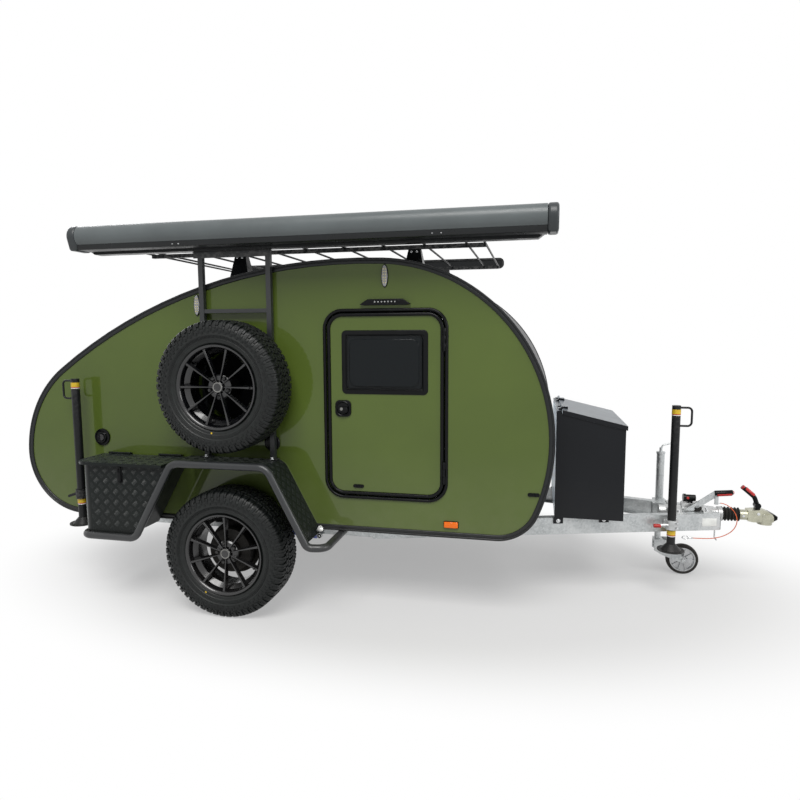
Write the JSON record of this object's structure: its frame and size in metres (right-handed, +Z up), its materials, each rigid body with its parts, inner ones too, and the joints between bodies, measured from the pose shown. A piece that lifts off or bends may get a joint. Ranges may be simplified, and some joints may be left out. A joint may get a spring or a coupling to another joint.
{
  "type": "teardrop trailer",
  "caption": "Off-road teardrop camping trailer: curved cabin, side doors, rear galley hatch, side and front boxes, roof rack, awning and jockey wheel.",
  "frame": {"origin": "on the ground under the middle of the overall length and width, from tail to coupling", "axes": "+X forwards along the drawbar to the coupling, +Y to the trailer's left, +Z up"},
  "size_m": [4.5456, 2.08, 2.183],
  "materials": {
    "green_panel": "gloss",
    "dark_skin": "satin",
    "black_trim": "satin",
    "black_steel": "satin",
    "anthracite": "satin",
    "galvanised": "satin",
    "zinc_head": "satin",
    "tyre": "matte",
    "rim_black": "gloss",
    "cast_grey": "matte",
    "dark_pane": "polished",
    "rubber_black": "matte",
    "galley_board": "satin",
    "floor_board": "satin",
    "foam_cover": "matte",
    "damper_blue": "gloss",
    "lamp": "gloss",
    "lamp_red": "gloss",
    "cable_red": "satin"
  },
  "bodies": {
    "trailer": {"chassis_frame": "galvanised", "axle_beam": "galvanised", "shock_absorbers": "damper_blue", "mudguards": "black_steel", "guard_rails": "black_steel", "storage_boxes": "black_steel", "side_walls": "green_panel", "edge_trims": "black_trim", "roof_shell": "dark_skin", "rear_valance": "dark_skin", "cabin_floor": "floor_board", "galley_unit": "galley_board", "mattress": "foam_cover", "door_frames": "black_trim", "front_box": "black_steel", "overrun_housing": "galvanised", "coupling_bellows": "rubber_black", "coupling_head": "zinc_head", "coupling_handle": "black_trim", "handbrake_lever": "galvanised", "jockey_tube": "galvanised", "leg_clamps": "black_steel", "spare_ladder": "black_steel", "spare_rim": "rim_black", "spare_tyre": "tyre", "awning_case": "anthracite", "awning_caps": "black_trim", "awning_rail": "anthracite", "rack_rails": "black_steel", "rack_rods": "black_steel", "rack_feet": "black_trim", "side_lamps": "lamp", "rear_lamps": "lamp_red", "wall_fittings": "black_trim", "plug_holder": "black_trim", "breakaway_cable": "cable_red"},
    "door_left": {"door_panel_left": "green_panel", "door_fittings_left": "black_trim", "window_frame_left": "black_trim", "window_pane_left": "dark_pane"},
    "side_box_lid_left": {"storage_lid_left": "black_steel"},
    "rear_support_left": {"rear_leg_left": "black_steel"},
    "road_wheel_left": {"wheel_rim_left": "rim_black", "wheel_tyre_left": "tyre", "brake_drum_left": "cast_grey"},
    "door_right": {"door_panel_right": "green_panel", "door_fittings_right": "black_trim", "window_frame_right": "black_trim", "window_pane_right": "dark_pane"},
    "side_box_lid_right": {"storage_lid_right": "black_steel"},
    "rear_support_right": {"rear_leg_right": "black_steel"},
    "road_wheel_right": {"wheel_rim_right": "rim_black", "wheel_tyre_right": "tyre", "brake_drum_right": "cast_grey"},
    "hatch": {"rear_hatch": "dark_skin"},
    "tool_box_lid": {"front_box_lid": "black_steel"},
    "front_support": {"front_leg": "black_steel"},
    "jockey_screw": {"jockey_inner_tube": "galvanised"},
    "jockey_caster": {"jockey_fork": "galvanised"},
    "jockey_roller": {"jockey_wheel": "rubber_black"}
  },
  "joints": [
    {"name": "wheel_spin_left", "type": "hinge", "parent": "trailer", "child": "road_wheel_left", "pos_m": [-0.81811, 0.9, 0.362], "axis": [0, 1, 0], "continuous": true},
    {"name": "wheel_spin_right", "type": "hinge", "parent": "trailer", "child": "road_wheel_right", "pos_m": [-0.81811, -0.9, 0.362], "axis": [0, 1, 0], "continuous": true},
    {"name": "door_swing_left", "type": "hinge", "parent": "trailer", "child": "door_left", "pos_m": [0.38039, 0.778, 1.187], "axis": [0, 0, -1], "range_deg": [0, 165]},
    {"name": "door_swing_right", "type": "hinge", "parent": "trailer", "child": "door_right", "pos_m": [0.38039, -0.778, 1.187], "axis": [0, 0, 1], "range_deg": [0, 165]},
    {"name": "hatch_lift", "type": "hinge", "parent": "trailer", "child": "hatch", "pos_m": [-1.42061, 0, 1.70973], "axis": [0, 1, 0], "range_deg": [0, 75]},
    {"name": "side_box_hinge_left", "type": "hinge", "parent": "trailer", "child": "side_box_lid_left", "pos_m": [-1.42811, 0.787, 0.8683], "axis": [1, 0, 0], "range_deg": [0, 85]},
    {"name": "side_box_hinge_right", "type": "hinge", "parent": "trailer", "child": "side_box_lid_right", "pos_m": [-1.42811, -0.787, 0.8683], "axis": [-1, 0, 0], "range_deg": [0, 85]},
    {"name": "tool_box_hinge", "type": "hinge", "parent": "trailer", "child": "tool_box_lid", "pos_m": [1.00689, 0, 1.148], "axis": [0, -1, 0], "range_deg": [0, 80]},
    {"name": "rear_support_slide_left", "type": "slide", "parent": "trailer", "child": "rear_support_left", "axis": [0, 0, -1], "range_m": [0, 0.434]},
    {"name": "rear_support_slide_right", "type": "slide", "parent": "trailer", "child": "rear_support_right", "axis": [0, 0, -1], "range_m": [0, 0.434]},
    {"name": "front_support_slide", "type": "slide", "parent": "trailer", "child": "front_support", "axis": [0, 0, -1], "range_m": [0, 0.297]},
    {"name": "jockey_lift", "type": "slide", "parent": "trailer", "child": "jockey_screw", "axis": [0, 0, 1], "range_m": [0, 0.16]},
    {"name": "jockey_swivel", "type": "hinge", "parent": "jockey_screw", "child": "jockey_caster", "pos_m": [1.65689, 0.225, 0.23], "axis": [0, 0, 1], "continuous": true},
    {"name": "jockey_roll", "type": "hinge", "parent": "jockey_caster", "child": "jockey_roller", "pos_m": [1.81189, 0.225, 0.1], "axis": [0, 1, 0], "continuous": true}
  ]
}
